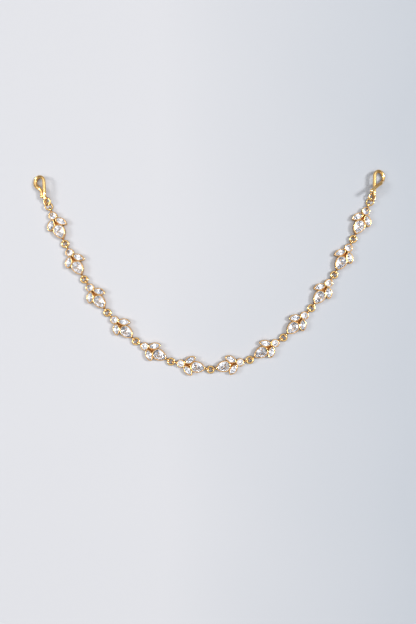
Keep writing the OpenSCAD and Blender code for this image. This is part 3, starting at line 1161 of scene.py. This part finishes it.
@dataclass
class RingWork:
    """The flat jump rings and the small links: wire rings with a sawn cut."""

    strand: Strand
    finish: Gilt
    ring_od: float = 5.4
    ring_wire: float = 1.2
    link_od: float = 5.6
    link_wire: float = 0.95
    first_roll: float = -30.0
    last_roll: float = 20.0
    rise: float = 6.0
    last_turn: dict[Side, float] = field(default_factory=lambda: {Side.LEFT: 4.0, Side.RIGHT: 1.0})
    points: int = 64
    sides: int = 18
    cut_gap: float = 0.09
    cut_step: float = 0.05
    cut_bend: int = 9
    cut_bevel: float = 0.03
    ring_cut: Point = (55.0, 125.0)
    link_cut: Point = (70.0, 110.0)
    ring_tilt: float = 1.5
    crease: float = 40.0
    seed: int = 11

    def ring(self, od: float, wire: float, cut_at: float) -> Skin:
        """A ring with its cut.

        Args:
            od: Outside diameter.
            wire: Wire diameter.
            cut_at: Where the cut lies, in degrees.

        Returns:
            The skin, flat and centred.
        """
        radius = (od - wire) / 2
        half_gap = math.degrees(self.cut_gap / 2 / radius)
        turns = np.radians(np.linspace(cut_at + half_gap, cut_at + 360 - half_gap, self.points))
        shares = np.linspace(-1, 1, self.points)
        lift = self.cut_step / 2 * np.sign(shares) * np.abs(shares) ** self.cut_bend
        path = np.column_stack([radius * np.cos(turns), radius * np.sin(turns), lift])
        radii = np.full(self.points, wire / 2)
        return Wire(path, radii, self.sides, end=End.SAWN, bevel=self.cut_bevel).skin()

    def lay(self, node: str, skin: Skin, place: Matrix, gilt: Finish) -> Thing:
        """Puts a ring where its node is.

        Args:
            node: The node that it replaces.
            skin: The ring's skin.
            place: The place in millimetres.
            gilt: Its material.

        Returns:
            The piece.
        """
        name = f"{node}_wire"
        mesh = skin.moved(place).mesh(name)
        mesh.materials.append(gilt)
        soften(mesh, self.crease)
        return fit(name, mesh, node)

    def cut_place(self, chance: random.Random, reach: Point) -> float:
        """Where a ring's cut lies, to one side or the other, in degrees."""
        return chance.choice((-1, 1)) * chance.uniform(*reach)

    def build(self) -> list[Thing]:
        """Builds the jump rings and the four links.

        Returns:
            The pieces.
        """
        chance = random.Random(self.seed)
        gilt = self.finish.material()
        made = []
        for number in range(1, self.strand.clusters):
            node = f"jump_ring_{number:02d}"
            way = self.strand.inwards(number)
            along = math.degrees(math.atan2(way[1], way[0]))
            skin = self.ring(self.ring_od, self.ring_wire, along + self.cut_place(chance, self.ring_cut))
            tilt = math.radians(chance.uniform(-self.ring_tilt, self.ring_tilt))
            place = Matrix.Translation(self.strand.centre(node)) @ Matrix.Rotation(tilt, 4, "X")
            made.append(self.lay(node, skin, place, gilt))
        for side in Side:
            lean = self.strand.end_lean(side)
            for letter, turn, rise, roll in (
                ("b", 0.0, self.rise, self.first_roll),
                ("a", self.last_turn[side], 0.0, self.last_roll),
            ):
                node = f"{side.value}_link_{letter}"
                heading = math.radians(lean + turn)
                facing = math.atan2(math.sin(heading), side.outwards * math.cos(heading))
                place = (
                    Matrix.Translation(self.strand.centre(node))
                    @ Matrix.Rotation(facing, 4, "Z")
                    @ Matrix.Rotation(math.radians(-rise), 4, "Y")
                    @ Matrix.Rotation(math.radians(side.outwards * roll), 4, "X")
                )
                skin = self.ring(self.link_od, self.link_wire, self.cut_place(chance, self.link_cut))
                made.append(self.lay(node, skin, place, gilt))
        return made


@dataclass
class WireHook:
    """A wire hook: an upright eye, a straight shank, a teardrop loop and a tail at the neck."""

    strand: Strand
    finish: Gilt
    side: Side
    tail: Tail
    reach: float
    neck: float
    tail_l: float
    turn: float
    eye_turn: float
    tail_turn: float = 0.0
    leg_swell: float = 0.0
    swell_rise: float = 0.7
    wire: float = 2.15
    eye_wire: float = 1.3
    eye_id: float = 2.3
    width: float = 9.5
    neck_gap: float = 0.12
    early_rise: float = 1.6
    thin_l: float = 3.6
    link_r: float = 2.325
    eye_play: float = 0.35
    clear: float = 0.02
    step: float = 0.22
    sides: int = 24
    eye_bend: float = 270.0
    eye_points: int = 40
    shank_points: int = 50
    neck_points: int = 22
    tail_points: int = 10
    swell_past: int = 16
    crease: float = 60.0

    @property
    def eye_r(self) -> float:
        """Radius of the eye's wire line."""
        return (self.eye_id + self.eye_wire) / 2

    @property
    def shank_z(self) -> float:
        """Height of the shank's middle."""
        return 2 * self.eye_r + self.eye_wire / 2 + self.clear

    @property
    def head_r(self) -> float:
        """Radius of the loop's head."""
        return (self.width - self.wire) / 2

    @property
    def roll(self) -> float:
        """How far the loop is rolled about its shank, in radians."""
        return math.asin((self.shank_z - self.wire / 2 - self.clear) / (2 * self.head_r))

    def level(self, lean: float) -> np.ndarray:
        """The level direction that leans up from outwards by lean degrees."""
        a = math.radians(lean)
        return np.array([self.side.outwards * math.cos(a), math.sin(a), 0.0])

    def flat_path(self) -> tuple[list[np.ndarray], list[float]]:
        """The loop's wire from the head round to the tail's end.

        Returns:
            Points along the shank, across to the outer side and up from the loop's plane; and how much
            thicker than the wire the loop is at each.
        """
        beside = self.tail is Tail.BESIDE
        room = self.wire + self.neck_gap
        lift = 0.0 if beside else room
        neck = np.array([self.neck, room if beside else 0.0])
        to_mid = np.array([self.reach, self.head_r]) - neck
        far = float(np.linalg.norm(to_mid))
        slant = math.atan2(to_mid[1], to_mid[0]) + math.asin(self.head_r / far)
        leg_l = math.sqrt(far**2 - self.head_r**2)
        leg_top = neck + leg_l * np.array([math.cos(slant), math.sin(slant)])
        tail_slant = 0.0 if beside else slant - math.radians(self.tail_turn)
        tail_end = neck - self.tail_l * np.array([math.cos(tail_slant), math.sin(tail_slant)])
        leg_mid, tail_mid = (leg_top + neck) / 2, (neck + tail_end) / 2
        sweep = math.pi + slant
        path = []
        bends = int(sweep * self.head_r / self.step)
        for a in np.linspace(0, sweep, bends, endpoint=False):
            along, across = self.reach + self.head_r * math.sin(a), self.head_r * (1 - math.cos(a))
            path.append(np.array([along, across, 0.0]))
        count, early = int(leg_l / 2 / self.step), int(self.early_rise / self.step)
        for t in np.arange(count) / count:
            path.append(np.array([*(leg_top + t * (leg_mid - leg_top)), 0.0]))
        for i in range(early + count):
            path[bends - early + i][2] = lift * smooth(i / (early + count))
        for t in np.linspace(0, 1, self.neck_points):
            flat = (1 - t) ** 2 * leg_mid + 2 * t * (1 - t) * neck + t * t * tail_mid
            path.append(np.array([*flat, lift]))
        for t in np.linspace(0, 1, self.tail_points)[1:]:
            path.append(np.array([*(tail_mid + t * (tail_end - tail_mid)), lift]))
        swells = [0.0] * len(path)
        leg = range(bends // 2, bends + count + self.swell_past)
        for i in leg:
            share = (i - leg.start) / len(leg)
            a = min(1.0, i / bends) * sweep
            swells[i] = self.leg_swell * math.sin(math.pi * share) ** 2
            path[i][:2] += swells[i] * np.array([-math.sin(a), math.cos(a)])
        return path, swells

    def build(self) -> Thing:
        """Builds the hook.

        Returns:
            The piece.
        """
        lean = self.strand.end_lean(self.side)
        link = self.strand.centre(f"{self.side.value}_link_a")
        eye = link + (self.link_r - self.eye_play) * self.level(lean + self.eye_turn)
        along = self.level(lean + self.turn)
        across = self.side.outwards * np.array([along[1], -along[0], 0.0])
        top = np.array([eye[0], eye[1], self.shank_z])
        places, radii = [], [self.eye_wire / 2] * self.eye_points
        for a in np.linspace(math.radians(self.eye_bend), 0, self.eye_points, endpoint=False):
            places.append(top - self.eye_r * math.sin(a) * along + self.eye_r * (math.cos(a) - 1) * UP)
        shank = np.linspace(0, self.reach, self.shank_points, endpoint=False)
        flat = [np.array([u, 0.0, 0.0]) for u in shank]
        loop, swells = self.flat_path()
        thick = [smooth(min(1.0, u / self.thin_l)) for u in shank] + [1.0] * len(loop)
        swells = [0.0] * len(flat) + swells
        for (u, v, w), share, swell in zip(flat + loop, thick, swells):
            sideways = v * math.cos(self.roll) + w * math.sin(self.roll)
            height = self.swell_rise * swell - v * math.sin(self.roll) + w * math.cos(self.roll)
            places.append(top + u * along + sideways * across + height * UP)
            radii.append((self.eye_wire + (self.wire - self.eye_wire) * share) / 2 + swell)
        node = f"{self.side.value}_hook"
        mesh = Wire(np.array(places), np.array(radii), self.sides).skin().mesh(f"{node}_wire")
        mesh.materials.append(self.finish.material())
        soften(mesh, self.crease)
        return fit(f"{node}_wire", mesh, node)


@dataclass(frozen=True)
class DarkPatch:
    """A dark part of the room that the pieces mirror, with its inner and outer reach in degrees."""

    way: Way
    inner: float
    outer: float
    share: float


@dataclass(frozen=True)
class Panel:
    """A square soft light that faces the strand's middle: place and size in metres, power in watts."""

    name: str
    at: Way
    power: float
    size: float = 0.5
    tone: Way = (1.0, 0.995, 0.985)

    def hang(self) -> None:
        """Hangs the light."""
        lamp = bpy.data.lights.new(self.name, "AREA")
        lamp.size = self.size
        lamp.energy = self.power
        lamp.color = self.tone
        thing = put(self.name, lamp)
        thing.location = self.at
        thing.rotation_euler = (-Vector(self.at)).to_track_quat("-Z", "Y").to_euler()


@dataclass
class Studio:
    """The pale floor, the room that the pieces mirror, three lights and the camera above the strand."""

    floor: PaleFloor
    floor_size: float = 3.0
    floor_cells: int = 8
    floor_drop: float = 0.05
    camera_at: Way = (-0.83, -25.36, 350.0)
    camera_clip: Point = (0.01, 20.0)
    field_mm: float = 405.6
    sensor: float = 36.0
    room: float = 1.5
    dim_below: float = 20.0
    bright_above: float = 48.0
    dim_share: float = 0.2
    backdrop: float = 0.74
    room_tone: Colour = (0.965, 0.98, 1.0, 1.0)
    ceiling_power: float = 2.9
    ceiling_width: float = 70.0
    ceiling_at: Way = (0.0, 0.0, 1.0)
    bounces: int = 20
    stone_bounces: int = 14
    clamp: float = 8.0
    panels: tuple[Panel, ...] = (
        Panel("left_panel", at=(-1.55, 0.04, 1.24), power=22.0),
        Panel("right_panel", at=(1.7, 0.24, 2.0), power=64.0),
    )
    patches: tuple[DarkPatch, ...] = (
        DarkPatch(way=(0.0, 0.0, 1.0), inner=7.0, outer=13.0, share=0.5),
        DarkPatch(way=(0.1, -0.75, 0.35), inner=14.0, outer=30.0, share=0.85),
    )

    def lay_floor(self) -> None:
        """Lays the floor under the strand."""
        mesh = bpy.data.meshes.new("floor")
        work = bmesh.new()
        cells = self.floor_cells
        bmesh.ops.create_grid(work, x_segments=cells, y_segments=cells, size=self.floor_size / 2)
        work.to_mesh(mesh)
        work.free()
        mesh.materials.append(self.floor.material())
        floor = put("floor", mesh)
        floor.location.z = -self.floor_drop * MM

    def seen_light(self, pad: NodePad) -> Socket:
        """The room as the gilding and the stones see it: dim low down, pale higher up, with its dark patches.

        Args:
            pad: The pad over the room's tree.

        Returns:
            The socket with the brightness.
        """
        way = pad.add("TexCoord").outputs["Generated"]
        height = pad.add("SeparateXYZ", Vector=way).outputs["Z"]
        low, high = np.sin(np.radians([self.dim_below, self.bright_above]))
        light = pad.ranged(height, Span(low, high, self.room * self.dim_share, self.room), eased=True)
        for patch in self.patches:
            far, near = np.cos(np.radians([patch.outer, patch.inner]))
            span = Span(far, near, 1.0, 1.0 - patch.share)
            light = pad.reckon("MULTIPLY", light, pad.ranged(pad.towards(way, patch.way), span, eased=True))
        return light

    def paint_room(self) -> None:
        """Paints the room that the pieces mirror, and a plain tone behind the strand for the camera."""
        world = bpy.data.worlds.new("pale_room")
        world.use_nodes = True
        world.node_tree.nodes.clear()
        bpy.context.scene.world = world
        world.cycles_visibility.diffuse = False
        pad = NodePad(world.node_tree)
        seen = pad.add("Background", Color=self.room_tone, Strength=self.seen_light(pad))
        plain = pad.add("Background", Color=self.room_tone, Strength=self.backdrop)
        by_camera = pad.add("LightPath").outputs["Is Camera Ray"]
        choice = pad.add("MixShader")
        for value, slot in zip((by_camera, seen.outputs[0], plain.outputs[0]), choice.inputs):
            pad.feed(value, slot)
        pad.add("OutputWorld", Surface=choice.outputs[0])

    def hang_ceiling(self) -> None:
        """Hangs the wide light overhead that lights the surface and leaves no glint."""
        lamp = bpy.data.lights.new("ceiling", "SUN")
        lamp.angle = math.radians(self.ceiling_width)
        lamp.energy = self.ceiling_power
        thing = put("ceiling", lamp)
        thing.location = self.ceiling_at
        thing.visible_glossy = False
        thing.visible_transmission = False

    def light(self) -> None:
        """Hangs the wide light overhead and the soft panels, a weaker one at the left."""
        self.hang_ceiling()
        for panel in self.panels:
            panel.hang()

    def hang_camera(self) -> None:
        """Hangs the camera over the strand, looking straight down."""
        data = bpy.data.cameras.new("camera")
        data.sensor_width = self.sensor
        data.lens = self.sensor * self.camera_at[2] / self.field_mm
        data.clip_start, data.clip_end = self.camera_clip
        camera = put("camera", data)
        camera.location = Vector(self.camera_at) * MM
        bpy.context.scene.camera = camera

    def expose(self) -> None:
        """Sets how the light becomes the picture's tones and how often it may bounce in a stone."""
        scene = bpy.context.scene
        scene.view_settings.view_transform = "Standard"
        scene.view_settings.look = "None"
        scene.view_settings.exposure = 0.0
        scene.cycles.max_bounces = self.bounces
        scene.cycles.glossy_bounces = self.stone_bounces
        scene.cycles.transmission_bounces = self.stone_bounces
        scene.cycles.caustics_reflective = True
        scene.cycles.caustics_refractive = False
        scene.cycles.sample_clamp_indirect = self.clamp


def report(pieces: list[Thing]) -> None:
    """Logs each piece with its faces.

    Args:
        pieces: The pieces just made.
    """
    for piece in pieces:
        LOG.info("%s: %d faces", piece.name, len(piece.data.polygons))


def main() -> None:
    """Builds and dresses the strand piece by piece, then the studio round it."""
    logging.basicConfig(level=logging.INFO, format="%(message)s")
    strand = Strand()
    bezel = Gilt(
        "bezel_gilt", tone=(0.61, 0.34, 0.118, 1.0), shade_and_tarnish=(0.17, 0.048, 0.01, 1.0),
        worn=(0.84, 0.56, 0.25, 1.0), rough_low=0.1, rough_high=0.24,
    )
    # The solder's dark tone is partly its own colour and partly painted shade, standing in for the shaded
    # recess between the cups
    solder = Gilt(
        "solder_gilt", tone=(0.27, 0.1, 0.026, 1.0), shade_and_tarnish=(0.06, 0.012, 0.003, 1.0),
        worn=(0.48, 0.25, 0.09, 1.0), rough_low=0.2, rough_high=0.4, peel_depth=0.02,
    )
    wire = Gilt(
        "wire_gilt", tone=(0.76, 0.46, 0.16, 1.0), shade_and_tarnish=(0.34, 0.13, 0.025, 1.0),
        worn=(0.95, 0.68, 0.32, 1.0), rough_low=0.08, rough_high=0.22,
    )
    rings = Gilt(
        "ring_gilt", tone=(0.6, 0.36, 0.125, 1.0), shade_and_tarnish=(0.26, 0.1, 0.02, 1.0),
        worn=(0.8, 0.57, 0.26, 1.0), rough_low=0.1, rough_high=0.24,
    )
    settings = Setting(strand, bezel, solder)
    report(settings.dress(settings.build()))
    report(Stones(strand, ClearStone(), StoneFoil()).dress())
    report(RingWork(strand, rings).build())
    left = WireHook(
        strand, wire, Side.LEFT, Tail.BESIDE, reach=10.6, neck=5.4, tail_l=4.2, turn=21.0, eye_turn=-6.0,
        leg_swell=0.3,
    )
    right = WireHook(
        strand, wire, Side.RIGHT, Tail.OVER, reach=11.2, neck=4.6, tail_l=5.9, turn=24.0, eye_turn=-3.0,
        tail_turn=7.0,
    )
    report([left.build(), right.build()])
    studio = Studio(PaleFloor())
    studio.lay_floor()
    studio.paint_room()
    studio.light()
    studio.hang_camera()
    studio.expose()


if __name__ == "__main__":
    main()
